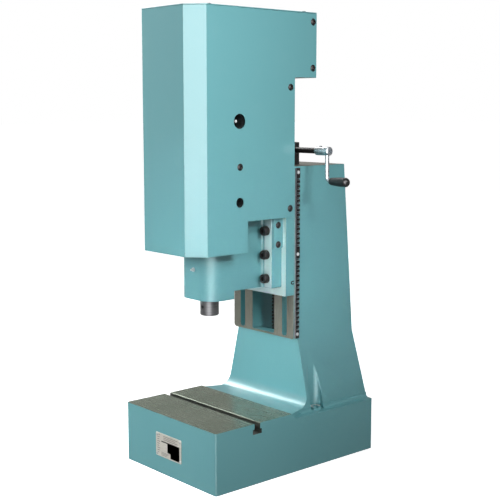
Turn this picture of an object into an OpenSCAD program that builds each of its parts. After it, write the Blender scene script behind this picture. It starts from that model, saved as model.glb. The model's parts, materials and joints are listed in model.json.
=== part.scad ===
// Bench press with a cast C-frame, a height-adjustable press head and an air
// cylinder on the ram. Origin: centre of the base's underside. +Z up, -Y is
// the operator's side, +X is the side with the height crank. Millimetres.

/* [Base] */
// Width of the base and the table
base_w = 200; // [196:1:206]
// Depth of the base, front to back
base_d = 300; // [296:1:310]
// Height of the machined table above the bench
table_z = 84; // [80:0.5:90]
// Width of the T-slot's neck
slot_neck = 10; // [8:1:12]
// Width of the T-slot's lower, wider part
slot_wide = 16; // [15:1:18]

/* [Column] */
// Width of the upright column
column_w = 129; // [128:0.5:130]
// Height of the column's flat top
column_top = 421.5; // [415:0.5:430]
// Throat: from the ram's axis to the machined pad of the column
throat = 100; // [98:0.5:104]
// Width of each clamping slot in the pad
clamp_slot = 10; // [9:0.5:11]
// Width of the opening in the middle of the pad
window_w = 46.8; // [44:0.2:50]

/* [Height drive] */
// Height of the crank shaft's axis
shaft_z = 442.5; // [441:0.5:444]
// Throw of the crank arm
crank_throw = 41; // [36:1:44]

/* [Press head] */
// Lowest point of the head casting
head_z = 241.5; // [238:0.5:245]
// Diameter of the ram
ram_d = 26; // [25:0.5:27]
// Working stroke of the ram
stroke = 50; // [30:1:50]
// Bore of the air cylinder
bore_d = 100; // [90:1:100]

/* [Cover] */
// Outside width of the sheet-metal cover
cover_w = 131; // [131:0.5:133]
// Outside height of the cover's top
cover_top_z = 630.9; // [630:0.1:636]
// Sheet thickness
sheet = 1.2; // [1:0.1:1.2]
// Width of the slanted corner at the front
cover_chamfer = 21; // [15:1:22]

/* [Hidden] */
$fn = 48;
eps = 0.01;

// main planes
pad_y = base_d / 2 - 128;          // machined pad of the column
ram_y = pad_y - throat;            // axis of the ram and of the T-slot
column_y = pad_y + 8;              // painted front of the column
column_hw = column_w / 2;
ledge_z = table_z - 8;             // bolting ledges beside the column
strip_z = table_z - 1.5;           // cast surface behind the table
table_end = -13;                   // rear edge of the machined table
knee_z = 175;                      // the column flares out below this
flare = 0.24;
pad_z = 177;
opening_z = [180, 405];            // bottom and top of slots and opening
clamp_x = 45;
shaft_y = pad_y + 26;              // lead screw and crank shaft
bolt_x = 84;
bolt_y = 47;
bolt_boss_z = ledge_z + 4.4;
bolt_hole_r = 4.5;
base_wall = 14;
pocket_z = 54;                     // ceiling of the pockets under the base
column_wall = 13;
hollow_z = [100, column_top - 12];
rear_window = [34, 125, 390];      // half width, bottom and top
// name plate
plate_mid_x = -1;
plate_mid_z = 41;
plate_w = 57;
plate_h = 33;
plate_rivet_x = plate_w / 2 - 3;
plate_rivet_z = plate_h / 2 - 3;

// toothed index strip
rack_z = [pad_z + 2, column_top - 2.5];
rack_y = [pad_y + 1, pad_y + 8];
rack_out = 3;
rack_pitch = 6.6;
rack_mid_y = (rack_y[0] + rack_y[1]) / 2;
rack_screw_z = [rack_z[0] + 6, (rack_z[0] + rack_z[1]) / 2, rack_z[1] - 6];

// lead screw (5 mm pitch, left plain), its gears and the housing on the column
journal_r = 5;
bush_out_r = 11;
bush_h = 12;
foot_bush_z = 88;
screw_r = 7;
nut_z = 285;
gear_teeth = 14;
gear_r = 7;
gear_face = 3;
gear_void = 8.2;                   // room around the gears
gear_bore_r = 2.5;
housing_x = [-22, 33];
housing_hd = 13;
housing_top = shaft_z + 10.5;
housing_bolts = [for (x = [-16, 26], side = [-1, 1]) [x, shaft_y + side * 9]];

// crank
hub_x = [82, 107];
rod_x = 101.5;
rod_bar_r = 2.8;
rod_bend = 7;
grip_x = rod_x + 7.2;               // start of the handle

// carriage and head
carriage_y = pad_y - 15.3;         // front face of the carriage plate
carriage_z = [head_z - 1, 541];
flange_y = carriage_y - 18.7;      // front face of the head's flange
flange_hw = 55.3;
arm_z = head_z + 11.5;             // underside of the rear arm and flange
flange_top = 400;
head_hw = 36;
head_front = ram_y - 28.6;
screw_zs = [266.2, 299.5, 332.8];  // rows of head screws
ram_r = ram_d / 2;
fit = 0.03;                        // radial running clearance
bush_r = ram_r + 4;
ram_z = head_z - 24.5;             // tip of the ram
ram_end = head_z + 162.5;
set_screw_z = ram_z + 12;
clamp_nut_y = column_y + 10;       // clamp bars behind the slots
wire_r = 0.75;                     // height pointer
pointer_bend = 1.9;
pointer_y = [pad_y - 3.6, pad_y - 1.2];
pointer_z = 259;
nipple_x = 1.5;
nipple_z = head_z + 41.5;
bracket_y = [flange_y + 1, flange_y + 18];
bracket_mid_y = (bracket_y[0] + bracket_y[1]) / 2;
bracket_screw_z = [314, 341];

// yoke and air cylinder
yoke_z = 352;
yoke_hw = 60;
yoke_wall = 14;
yoke_y = [ram_y - 34, ram_y + 34];
cap_z = 506;
cap_hw = 56;
base_h = 18;                       // thickness of the cylinder's base plate
top_h = 17;                        // thickness of the cylinder's head plate
barrel_z = [cap_z + base_h, cap_z + 96];
bore_r = bore_d / 2;
rod_r = 8;
tie = 48;                          // tie rods, from the ram's axis
port_z = [cap_z + 9, barrel_z[1] + 9];
piston_z = [barrel_z[1] - 27, barrel_z[1] - 7];
coupling_z = [ram_end, ram_end + 28];
yoke_screw_at = [for (x = [-28, 28], y = [-9, 9]) [x, ram_y + y]];
cylinder_screw_at = [for (x = [-51, 51], y = [-31, 31]) [x, ram_y + y]];

// cover
cover_hw = cover_w / 2;
cover_front = ram_y - 76.6;
cover_back = pad_y - 1;
cover_rear = pad_y + 39.6;
cover_low = 308.9;
cover_mid = 351;
cover_shelf = 542.4;
cover_step = -64;
lip = 14;                          // turned-down edge of the cover's top
pin_low_z = 376.8;                 // two round holes through cover and yoke
pin_high_z = 483.5;
cover_yoke_z = 423.7;
yoke_holes = [[pin_low_z, 7], [pin_high_z, 9.5], [cover_yoke_z, 2.5]];
side_holes = [[ram_y - 0.2, pin_low_z, 6.65], [ram_y - 0.7, pin_high_z, 9.9]];
carriage_cover_screws = [[pad_y - 9, 529], [pad_y - 9, 363.7]];
side_screws = [[cover_rear - 6.6, 618], [cover_rear - 6.6, 555.6], carriage_cover_screws[0],
  carriage_cover_screws[1], [ram_y, cover_yoke_z]];
top_screws = [for (x = [-57, 57], y = [cover_front + 32, cover_rear - 17]) [x, y]];

// air supply
pipe_r = 3;
pipe_bend_r = 6;
pipe_y = -4;
valve_low_z = 565;
valve_y = [pad_y + 2, pad_y + 26];
inlet_x = -12;
inlet_z = 575;

// colours
paint = [0.42, 0.66, 0.67];
machined = [0.45, 0.47, 0.42];
steel = [0.72, 0.74, 0.76];
black = [0.08, 0.08, 0.09];
bronze = [0.72, 0.55, 0.30];
alu = [0.78, 0.79, 0.80];

// ---------- shared shapes ----------

module mirror_x() {
  children();
  mirror([1, 0, 0]) children();
}

// a bar along X, Y or Z, starting at the origin
module bar_x(r, h) { rotate([0, 90, 0]) cylinder(r = r, h = h); }
module bar_y(r, h) { rotate([-90, 0, 0]) cylinder(r = r, h = h); }

// rectangle with rounded corners, between two opposite corners
module soft_rect(low, high, r) {
  translate([low[0] + r, low[1]]) square([high[0] - low[0] - 2 * r, high[1] - low[1]]);
  translate([low[0], low[1] + r]) square([high[0] - low[0], high[1] - low[1] - 2 * r]);
  for (x = [low[0] + r, high[0] - r], y = [low[1] + r, high[1] - r])
    translate([x, y]) circle(r);
}

// extrudes an outline drawn in X and Z along Y
module along_y(y0, y1) {
  translate([0, y1, 0]) rotate([90, 0, 0]) linear_extrude(y1 - y0) children();
}

// extrudes an outline drawn in Y and Z along X
module along_x(x0, x1) {
  translate([x0, 0, 0]) rotate([90, 0, 90]) linear_extrude(x1 - x0) children();
}

// socket head cap screw, under-head at the origin, shank along -Z
module cap_screw(d, length) {
  difference() {
    union() {
      translate([0, 0, -length]) cylinder(d = d, h = length + eps);
      cylinder(d = 1.5 * d + 1.2, h = d * 0.9);
      translate([0, 0, d * 0.9 - eps])
        cylinder(d1 = 1.5 * d + 1.2, d2 = 1.5 * d, h = d * 0.1);
    }
    translate([0, 0, d * 0.45]) cylinder(d = d * 0.92, h = d, $fn = 6);
  }
}

// button head screw, under-head at the origin, shank along -Z
module button_screw(d, length) {
  head = 1.9 * d;
  rise = 0.55 * d;
  ball = (head * head / 4 + rise * rise) / (2 * rise);
  difference() {
    union() {
      translate([0, 0, -length]) cylinder(d = d, h = length + eps);
      intersection() {
        translate([0, 0, rise - ball]) sphere(ball);
        cylinder(d = head, h = rise);
      }
    }
    translate([0, 0, rise - 0.3 * d]) cylinder(d = 0.7 * d, h = d, $fn = 6);
  }
}

// ---------- frame ----------

function foot_x(z) = column_hw + flare * (knee_z - z);

module column_front_outline() {
  r = 6;
  lean = sqrt(1 + flare * flare);
  cx = foot_x(ledge_z + r) + r * lean;
  cz = ledge_z + r;
  tz = cz - r * flare / lean;
  polygon([[-foot_x(60), 60], [foot_x(60), 60], [column_hw, knee_z],
    [column_hw, column_top], [-column_hw, column_top], [-column_hw, knee_z]]);
  mirror_x() difference() {
    polygon([[foot_x(ledge_z) - 2, ledge_z - 1], [cx, ledge_z - 1], [cx, cz],
      [foot_x(tz), tz], [foot_x(tz) - 2, tz]]);
    translate([cx, cz]) circle(r);
  }
}

module column_side_outline() {
  r = 17;
  lean = 28.7;
  rear = base_d / 2 - 0.3;
  polygon([[column_y, 60], [rear, 60], [rear, ledge_z], [rear - lean, column_top],
    [column_y, column_top]]);
  difference() {
    translate([column_y - r, 60]) square([r + eps, strip_z + r - 60]);
    translate([column_y - r, strip_z + r]) circle(r);
  }
}

module column_solid() {
  intersection() {
    along_y(-base_d / 2, base_d / 2) column_front_outline();
    along_x(-base_w / 2, base_w / 2) column_side_outline();
  }
  along_y(pad_y, column_y + 1) {
    soft_rect([-column_hw, pad_z], [column_hw, pad_z + 30], 5);
    translate([-column_hw, pad_z + 12])
      square([column_w, column_top - pad_z - 12]);
  }
}

module column_hollow() {
  front = column_y + 10;
  along_x(-column_hw + column_wall, column_hw - column_wall)
    polygon([[front, hollow_z[0]], [base_d / 2 - 22, hollow_z[0]],
      [base_d / 2 - 40, hollow_z[1]], [front, hollow_z[1]]]);
  along_y(base_d / 2 - 60, base_d / 2 + 1)
    soft_rect([-rear_window[0], rear_window[1]], [rear_window[0], rear_window[2]], 4);
}

module pad_openings() {
  along_y(pad_y - 1, column_y + 12) {
    mirror_x() soft_rect([clamp_x - clamp_slot / 2, opening_z[0]],
      [clamp_x + clamp_slot / 2, opening_z[1]], clamp_slot / 2 - 0.5);
    soft_rect([-window_w / 2, opening_z[0]], [window_w / 2, opening_z[1]], 3);
  }
}

module side_ledges() {
  mirror_x() intersection() {
    along_x(foot_x(ledge_z) - 20, base_w / 2 + 1)
      polygon([[table_end - 1, table_z + 1], [table_end - 1, table_z],
        [table_end + 7, ledge_z], [base_d / 2 + 1, ledge_z],
        [base_d / 2 + 1, table_z + 1]]);
    translate([0, 0, ledge_z - 1]) linear_extrude(12)
      polygon([[base_w / 2 + 1, table_end - 3], [base_w / 2 - 2, table_end - 2],
        [foot_x(ledge_z) - 1, column_y - 18], [foot_x(ledge_z) - 1, base_d / 2 + 1],
        [base_w / 2 + 1, base_d / 2 + 1]]);
  }
}

module base_block() {
  difference() {
    linear_extrude(table_z)
      soft_rect([-base_w / 2, -base_d / 2], [base_w / 2, base_d / 2], 3);
    translate([-base_w, table_end, strip_z]) cube([2 * base_w, base_d, 10]);
    side_ledges();
  }
}

module base_pockets() {
  translate([0, 0, -1]) linear_extrude(pocket_z + 1) {
    soft_rect([-base_w / 2 + base_wall, -base_d / 2 + base_wall],
      [base_w / 2 - base_wall, -12], 10);
    soft_rect([-62, 8], [62, base_d / 2 - base_wall - 2], 10);
  }
}

module t_slot() {
  translate([-base_w, ram_y - slot_neck / 2, table_z - 9])
    cube([2 * base_w, slot_neck, 10]);
  translate([-base_w, ram_y - slot_wide / 2, table_z - 14.5])
    cube([2 * base_w, slot_wide, 6.5]);
}

module bolt_pockets() {
  for (side = [-1, 1]) translate([side * bolt_x, bolt_y, 0]) difference() {
    translate([0, 0, ledge_z]) cylinder(r = 12.5, h = 90);
    translate([0, 0, ledge_z - 1]) cylinder(r = 8, h = bolt_boss_z - ledge_z + 1);
  }
}

module frame_casting() color(paint) difference() {
  union() {
    base_block();
    column_solid();
  }
  column_hollow();
  pad_openings();
  t_slot();
  base_pockets();
  bolt_pockets();
  for (side = [-1, 1]) translate([side * bolt_x, bolt_y, -1])
    cylinder(r = bolt_hole_r, h = table_z + 2);
  translate([0, shaft_y, column_top - 20]) cylinder(r = bush_out_r, h = 30);
  translate([0, shaft_y, foot_bush_z]) cylinder(r = bush_out_r, h = 20);
  for (z = rack_screw_z) translate([column_hw - 10, rack_mid_y, z]) bar_x(1.5, 20);
  for (p = housing_bolts) translate([p[0], p[1], column_top - 10]) cylinder(r = 2, h = 20);
  for (x = [-1, 1], z = [-1, 1])
    translate([plate_mid_x + x * plate_rivet_x, -base_d / 2 - 1, plate_mid_z + z * plate_rivet_z])
      bar_y(1, 6);
}

// ---------- name plate ----------

module name_plate() color([0.8, 0.78, 0.7]) difference() {
  along_y(-base_d / 2 - 0.8, -base_d / 2) translate([plate_mid_x, plate_mid_z])
    soft_rect([-plate_w / 2, -plate_h / 2], [plate_w / 2, plate_h / 2], 1.5);
  for (x = [-1, 1], z = [-1, 1])
    translate([plate_mid_x + x * plate_rivet_x, -base_d / 2 - 2, plate_mid_z + z * plate_rivet_z])
      bar_y(1, 4);
}

module name_plate_rivets() color(alu) for (x = [-1, 1], z = [-1, 1])
  translate([plate_mid_x + x * plate_rivet_x, -base_d / 2, plate_mid_z + z * plate_rivet_z]) {
    translate([0, -0.8, 0]) bar_y(1, 5);
    translate([0, -1.5, 0]) rotate([-90, 0, 0]) cylinder(d1 = 2, d2 = 3.4, h = 0.7);
  }

// ---------- toothed index strip ----------

module height_rack() color(black) difference() {
  translate([column_hw, rack_y[0], rack_z[0]])
    cube([rack_out, rack_y[1] - rack_y[0], rack_z[1] - rack_z[0]]);
  along_y(rack_y[0] + 1.6, rack_y[1] + 1)
    for (k = [1 : floor((rack_z[1] - rack_z[0]) / rack_pitch) - 1])
      if (min([for (s = rack_screw_z) abs(rack_z[0] + k * rack_pitch - s)]) > 5.4)
        translate([column_hw + rack_out, rack_z[0] + k * rack_pitch])
          polygon([[-2.2, -0.6], [-2.2, 0.6], [eps, 1.5], [eps, -1.5]]);
  for (z = rack_screw_z) translate([column_hw - 1, rack_mid_y, z]) {
    bar_x(1.7, 20);
    translate([2.5, 0, 0]) bar_x(2.8, 20);
  }
}

module rack_screws() color(steel) for (z = rack_screw_z)
  translate([column_hw, rack_mid_y, z]) difference() {
    union() {
      translate([-8, 0, 0]) bar_x(1.5, 9.5 + eps);
      translate([1.5, 0, 0]) bar_x(2.3, 1.8);
    }
    translate([2.3, 0, 0]) rotate([0, 90, 0]) cylinder(r = 1.1, h = 3, $fn = 6);
  }

// ---------- height drive ----------

module gear_housing() color(black) difference() {
  translate([housing_x[0], shaft_y - housing_hd, column_top])
    cube([housing_x[1] - housing_x[0], 2 * housing_hd, housing_top - column_top]);
  translate([0, shaft_y, column_top - 1]) cylinder(r = gear_void, h = shaft_z - column_top + 1);
  translate([-gear_void, shaft_y, shaft_z]) bar_x(gear_void, gear_void + 14.5);
  translate([10, shaft_y, shaft_z]) bar_x(5.5, 40);
  for (p = housing_bolts) translate([p[0], p[1], column_top - 1]) {
    cylinder(r = 2.2, h = 60);
    translate([0, 0, housing_top - column_top - 4]) cylinder(r = 3.8, h = 10);
  }
}

module gear_housing_screws() color(steel) for (p = housing_bolts)
  translate([p[0], p[1], housing_top - 5]) cap_screw(4, 35);

module spindle_top_bush() color(bronze) translate([0, shaft_y, 0]) difference() {
  translate([0, 0, column_top - bush_h]) cylinder(r = bush_out_r, h = bush_h);
  translate([0, 0, column_top - bush_h - 1]) cylinder(r = journal_r + fit, h = bush_h + 2);
}

module spindle_foot_bush() color(bronze) translate([0, shaft_y, 0]) difference() {
  translate([0, 0, foot_bush_z]) cylinder(r = bush_out_r, h = bush_h);
  translate([0, 0, foot_bush_z - 1]) cylinder(r = journal_r + fit, h = bush_h + 2);
}

module shaft_bushes() color(bronze) for (x = [15, 26]) translate([x, shaft_y, shaft_z])
  difference() {
    bar_x(5.5, 7);
    translate([-1, 0, 0]) bar_x(4 + fit, 12);
  }

module lead_screw() color(steel) translate([0, shaft_y, 0]) {
  translate([0, 0, foot_bush_z + 2]) cylinder(r = journal_r, h = bush_h);
  translate([0, 0, foot_bush_z + bush_h + 0.3])
    cylinder(r = screw_r, h = column_top - foot_bush_z - 2 * bush_h - 0.6);
  translate([0, 0, column_top - bush_h - 1]) cylinder(r = journal_r, h = bush_h + 6);
  translate([0, 0, column_top + 4]) cylinder(r = gear_bore_r, h = 12);
}

module bevel_teeth() {
  linear_extrude(gear_face, scale = (gear_r - gear_face) / gear_r) {
    circle(gear_r * 0.83);
    for (k = [0 : gear_teeth - 1]) rotate(k * 360 / gear_teeth)
      polygon([[5, -0.72], [gear_r + 0.5, -0.36], [gear_r + 0.5, 0.36], [5, 0.72]]);
  }
}

module spindle_gear() color(steel) translate([0, shaft_y, shaft_z - gear_r])
  difference() {
    union() {
      bevel_teeth();
      translate([0, 0, -6]) cylinder(r = 6, h = 6 + eps);
    }
    translate([0, 0, -9.5]) cylinder(r = gear_bore_r, h = 20);
  }

module cross_shaft() color(black) translate([0, shaft_y, shaft_z]) {
  translate([4.5, 0, 0]) bar_x(gear_bore_r, 9);
  translate([13, 0, 0]) bar_x(4, 85);
}

module shaft_gear() color(steel) translate([gear_r, shaft_y, shaft_z])
  rotate([0, -90, 0]) rotate(180 / gear_teeth) difference() {
    union() {
      bevel_teeth();
      translate([0, 0, -5.5]) cylinder(r = 6, h = 5.5 + eps);
    }
    translate([0, 0, -9.5]) cylinder(r = gear_bore_r, h = 20);
  }

// ---------- crank ----------

module crank_hub() color(steel) translate([0, shaft_y, shaft_z]) difference() {
  union() {
    translate([hub_x[0], 0, 0]) bar_x(6, hub_x[1] - hub_x[0] - 1);
    translate([hub_x[1] - 1, 0, 0]) rotate([0, 90, 0]) cylinder(r1 = 6, r2 = 5, h = 1);
  }
  translate([hub_x[0] - 1, 0, 0]) bar_x(4, 17);
  translate([hub_x[0] + 18, 0, 0]) bar_x(3.4, 20);
  translate([rod_x, 0, -20]) cylinder(r = rod_bar_r, h = 20);
  translate([hub_x[0] + 7, 0, 2]) cylinder(r = 1.6, h = 10);
}
module crank_rod() color(steel) translate([0, shaft_y, shaft_z]) {
  translate([rod_x, 0, -crank_throw + rod_bend]) cylinder(r = rod_bar_r, h = crank_throw - rod_bend - 3.6);
  translate([rod_x + rod_bend, 0, -crank_throw + rod_bend]) rotate([90, 0, 0])
    rotate([0, 0, 180]) rotate_extrude(angle = 90) translate([rod_bend, 0]) circle(rod_bar_r);
  translate([rod_x + rod_bend - eps, 0, -crank_throw]) bar_x(2.5, 26);
}

module crank_set_screw() color(black) translate([hub_x[0] + 7, shaft_y, shaft_z])
  difference() {
    translate([0, 0, 4]) cylinder(r = 1.6, h = 3);
    translate([0, 0, 5.6]) cylinder(r = 0.9, h = 3, $fn = 6);
  }

module crank_handle() color(black)
  translate([grip_x, shaft_y, shaft_z - crank_throw]) rotate([0, 90, 0])
    rotate_extrude() difference() {
      union() {
        polygon([[0, 0], [4.6, 0], [5.2, 2], [6.4, 18], [6.5, 27.5], [0, 27.5]]);
        intersection() {
          translate([0, 27]) circle(6.5);
          translate([0, 27]) square([7, 7]);
        }
      }
      translate([-1, -1]) square([1 + 2.5 + fit, 28]);
    }

// ---------- carriage ----------

module carriage_plate() color(paint) difference() {
  along_y(carriage_y, pad_y)
    soft_rect([-column_hw + 0.5, carriage_z[0]], [column_hw - 0.5, carriage_z[1]], 1.5);
  for (side = [-1, 1], z = screw_zs) translate([side * clamp_x, carriage_y - 1, z]) bar_y(4, 40);
  for (side = [-1, 1], p = carriage_cover_screws) translate([side * 52, p[0], p[1]])
    rotate([0, side * 90, 0]) cylinder(r = 2.5, h = 20);
  for (x = [-1, 1], z = [-1, 1]) translate([x * 14, carriage_y + 3, nut_z + z * 12]) bar_y(2.5, 20);
  for (side = [-1, 1]) translate([column_hw - 8, pointer_y[1], pointer_z + side * pointer_bend])
    bar_x(wire_r, 10);
}

module nut_bracket() color(machined) difference() {
  translate([-20, pad_y, nut_z - 18]) cube([40, shaft_y + 16 - pad_y, 36]);
  translate([0, shaft_y, nut_z - 20]) cylinder(r = 11, h = 40);
  for (x = [-1, 1], z = [-1, 1]) translate([x * 14, pad_y - 1, nut_z + z * 12]) bar_y(2.5, 12);
}

module nut_bracket_screws() color(black) for (x = [-1, 1], z = [-1, 1])
  translate([x * 14, carriage_y + 5, nut_z + z * 12]) bar_y(2.5, 20);

module spindle_nut() color(bronze) translate([0, shaft_y, nut_z]) difference() {
  union() {
    translate([0, 0, -18]) cylinder(r = 11, h = 36);
    translate([0, 0, -22]) cylinder(r = 14, h = 4);
  }
  translate([0, 0, -25]) cylinder(r = screw_r + 0.05, h = 60);
}

module clamp_bars() color(machined) mirror_x() difference() {
  along_y(clamp_nut_y, clamp_nut_y + 12)
    soft_rect([clamp_x - 12, screw_zs[0] - 14], [clamp_x + 5.5, screw_zs[2] + 14], 2);
  for (z = screw_zs) translate([clamp_x, clamp_nut_y - 1, z]) bar_y(4, 20);
}

module head_screws() color(black) for (side = [-1, 1], z = screw_zs)
  translate([side * clamp_x, flange_y, z]) rotate([90, 0, 0])
    cap_screw(8, clamp_nut_y + 11 - flange_y);

// U-shaped wire on the carriage's side that marks the height on the toothed strip
module height_pointer() color(black) translate([column_hw + 0.4, 0, pointer_z]) {
  for (side = [-1, 1]) translate([0, pointer_y[1], side * pointer_bend]) {
    translate([-6, 0, 0]) bar_x(wire_r, 6);
    sphere(wire_r);
    translate([0, pointer_y[0] - pointer_y[1], 0]) bar_y(wire_r, pointer_y[1] - pointer_y[0]);
  }
  translate([0, pointer_y[0], 0]) rotate([0, 90, 0]) rotate([0, 0, 180])
    rotate_extrude(angle = 180) translate([pointer_bend, 0]) circle(wire_r);
}

// ---------- head casting ----------
module head_front_outline(back) {
  r = 24;
  translate([-head_hw, head_front + r]) square([2 * head_hw, back - head_front - r]);
  translate([-head_hw + r, head_front]) square([2 * head_hw - 2 * r, 2 * r]);
  mirror_x() translate([head_hw - r, head_front + r]) circle(r);
}

module head_flange_outline() {
  r = 5;
  translate([-head_hw, -44]) square([2 * head_hw, carriage_y + 44]);
  translate([-flange_hw, flange_y]) square([2 * flange_hw, carriage_y - flange_y]);
  mirror_x() difference() {
    translate([head_hw - 1, flange_y - r]) square([r + 1, r + 1]);
    translate([head_hw + r, flange_y - r]) circle(r);
  }
}

module head_casting() color(paint) difference() {
  union() {
    translate([0, 0, head_z]) linear_extrude(yoke_z - head_z) head_front_outline(cover_step + 1);
    translate([0, 0, arm_z]) linear_extrude(flange_top - arm_z) head_flange_outline();
    translate([-head_hw, cover_step, arm_z])
      cube([2 * head_hw, yoke_y[1] + 1 - cover_step, yoke_z - arm_z]);
  }
  translate([0, ram_y, head_z - 1]) cylinder(r = bush_r, h = 200);
  for (p = yoke_screw_at) translate([p[0], p[1], yoke_z - 14]) cylinder(r = 3, h = 20);
  for (side = [-1, 1], z = screw_zs) translate([side * clamp_x, flange_y - 1, z]) bar_y(4, 40);
  for (side = [-1, 1], z = bracket_screw_z) translate([side * 45, bracket_mid_y, z])
    rotate([0, side * 90, 0]) cylinder(r = 2.5, h = 20);
  translate([nipple_x, head_front - 1, nipple_z]) bar_y(2, 12);
}

// U-shaped frame on the head that carries the cylinder
module cylinder_yoke() color(paint) difference() {
  along_y(yoke_y[0], yoke_y[1]) soft_rect([-yoke_hw, yoke_z], [yoke_hw, cap_z], 2);
  along_y(yoke_y[0] - 1, yoke_y[1] + 1)
    soft_rect([-yoke_hw + yoke_wall, yoke_z + yoke_wall], [yoke_hw - yoke_wall, cap_z + 20], 6);
  translate([0, ram_y, yoke_z - 1]) cylinder(r = bush_r, h = 30);
  for (p = yoke_screw_at) translate([p[0], p[1], yoke_z - 1]) cylinder(r = 3.3, h = 30);
  for (p = yoke_holes) translate([-yoke_hw - 1, ram_y, p[0]]) bar_x(p[1], 2 * yoke_hw + 2);
  for (p = cylinder_screw_at) translate([p[0], p[1], cap_z - 20]) cylinder(r = 3, h = 30);
}

module yoke_screws() color(black) for (p = yoke_screw_at)
  translate([p[0], p[1], yoke_z + yoke_wall]) cap_screw(6, 26);

module ram_bush(z) color(bronze) translate([0, ram_y, z]) difference() {
  cylinder(r = bush_r, h = 30);
  translate([0, 0, -1]) cylinder(r = ram_r + fit, h = 40);
}
module ram_bush_lower() ram_bush(head_z + 5);
module ram_bush_upper() ram_bush(yoke_z - 32);

module ram_wiper() color(black) translate([0, ram_y, head_z + 1.5]) difference() {
  cylinder(r = bush_r, h = 3.5);
  translate([0, 0, -1]) cylinder(r = ram_r + 0.08, h = 10);
}

module grease_nipple() color(steel) translate([nipple_x, head_front, nipple_z])
  rotate([90, 0, 0]) {
    translate([0, 0, -8]) cylinder(r = 2, h = 8);
    cylinder(r = 3.2, h = 1.6, $fn = 6);
    translate([0, 0, 1.6]) cylinder(r1 = 1.8, r2 = 1.2, h = 1.8);
    translate([0, 0, 4.2]) sphere(1.5);
    translate([0, 0, 3]) cylinder(r = 1.2, h = 1);
  }

// ---------- cover ----------

module cover_brackets() color(paint) mirror_x() difference() {
  translate([flange_hw, 0, 0]) along_x(0, 3)
    soft_rect([bracket_y[0], cover_low - 0.2], [bracket_y[1], 372], 2);
  for (z = bracket_screw_z) translate([flange_hw - 1, bracket_mid_y, z]) bar_x(2.5, 5);
}

module bracket_screws() color(black) for (side = [-1, 1], z = bracket_screw_z)
  translate([side * (flange_hw + 3), bracket_mid_y, z]) rotate([0, side * 90, 0])
    button_screw(5, 12);

// outline of the cover seen from above
module cover_outline(inset) {
  hw = cover_hw - inset;
  f = cover_front + inset;
  ch = cover_chamfer - inset * (2 - sqrt(2));
  polygon([[-hw, f + ch], [-hw + ch, f], [hw - ch, f], [hw, f + ch], [hw, 200], [-hw, 200]]);
}

// side view of the cover, with the stepped lower edge and the rear extension
module cover_side(top) {
  polygon([[cover_front - 1, cover_low], [cover_step, cover_low], [cover_step, cover_mid],
    [cover_back, cover_mid], [cover_back, cover_shelf], [cover_rear, cover_shelf],
    [cover_rear, top], [cover_front - 1, top]]);
}

module cover_shell() color(paint) difference() {
  intersection() {
    translate([0, 0, 300]) linear_extrude(400) difference() {
      cover_outline(0);
      cover_outline(sheet);
    }
    along_x(-100, 100) cover_side(cover_top_z - sheet - 0.3);
  }
  for (p = side_holes) translate([-100, p[0], p[1]]) bar_x(p[2], 200);
  for (p = side_screws) translate([-100, p[0], p[1]]) bar_x(2.5, 200);
}

module cover_top() color(paint) difference() {
  union() {
    translate([0, 0, cover_top_z - sheet]) linear_extrude(sheet) intersection() {
      cover_outline(0);
      translate([-100, cover_front - 1]) square([200, cover_rear - cover_front + 1]);
    }
    translate([0, 0, cover_top_z - lip]) linear_extrude(lip - 1) intersection() {
      difference() {
        cover_outline(sheet + 0.3);
        cover_outline(2 * sheet + 0.3);
      }
      translate([-100, cover_front - 1]) square([200, cover_rear - cover_front - 2]);
    }
  }
  translate([-100, side_screws[0][0], side_screws[0][1]]) bar_x(2.5, 200);
  for (p = top_screws) translate([p[0], p[1], cover_top_z - 3]) cylinder(r = 2, h = 5);
}

module cover_top_screws() color(black) for (p = top_screws)
  translate([p[0], p[1], cover_top_z]) button_screw(4, 5);

// L-shaped sheet that closes the rear extension, with turned-in side flanges
module cover_back_plate() color(paint) difference() {
  union() {
    translate([-cover_hw + sheet + 0.3, cover_rear - sheet, cover_shelf])
      cube([cover_w - 2 * sheet - 0.6, sheet, cover_top_z - sheet - 0.3 - cover_shelf]);
    translate([-cover_hw + sheet + 0.3, cover_back + 3, cover_shelf])
      cube([cover_w - 2 * sheet - 0.6, cover_rear - cover_back - 3, sheet]);
    mirror_x() translate([cover_hw - 2 * sheet - 0.3, cover_rear - 14, cover_shelf])
      cube([sheet, 14, cover_top_z - 18 - cover_shelf]);
  }
  translate([-100, side_screws[1][0], side_screws[1][1]]) bar_x(2.5, 200);
  translate([inlet_x, cover_rear - 5, inlet_z]) bar_y(6.5, 10);
  translate([-inlet_x, cover_rear - 5, inlet_z]) bar_y(5, 10);
  for (x = [-14, 14]) translate([x, valve_y[0] + 12, cover_shelf - 1]) cylinder(r = 2, h = 5);
}

module cover_screws() color(black) for (side = [-1, 1], k = [0 : len(side_screws) - 1])
  translate([side * cover_hw, side_screws[k][0], side_screws[k][1]]) rotate([0, side * 90, 0])
    button_screw(5, k < 2 ? 4 : 10);

module cover_spacers() color(steel) mirror_x()
  translate([yoke_hw, ram_y, cover_yoke_z]) difference() {
    bar_x(6, cover_hw - sheet - yoke_hw);
    translate([-1, 0, 0]) bar_x(2.5, 10);
  }

// ---------- air cylinder ----------

module cylinder_plate(z, h) difference() {
  translate([-cap_hw, ram_y - cap_hw, z]) cube([2 * cap_hw, 2 * cap_hw, h]);
  translate([0, ram_y + 30, z + h / 2]) bar_y(4, 40);
  children();
}

module cylinder_base() color(alu) cylinder_plate(cap_z, base_h) {
  translate([0, ram_y, cap_z - 1]) cylinder(r = 12, h = 20);
  for (p = cylinder_screw_at) translate([p[0], p[1], cap_z - 1]) {
    cylinder(r = 3, h = 20);
    translate([0, 0, 12]) cylinder(r = 5.5, h = 10);
  }
  for (x = [-1, 1], y = [-1, 1]) translate([x * tie, ram_y + y * tie, cap_z + 6])
    cylinder(r = 4, h = 20);
}

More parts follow.
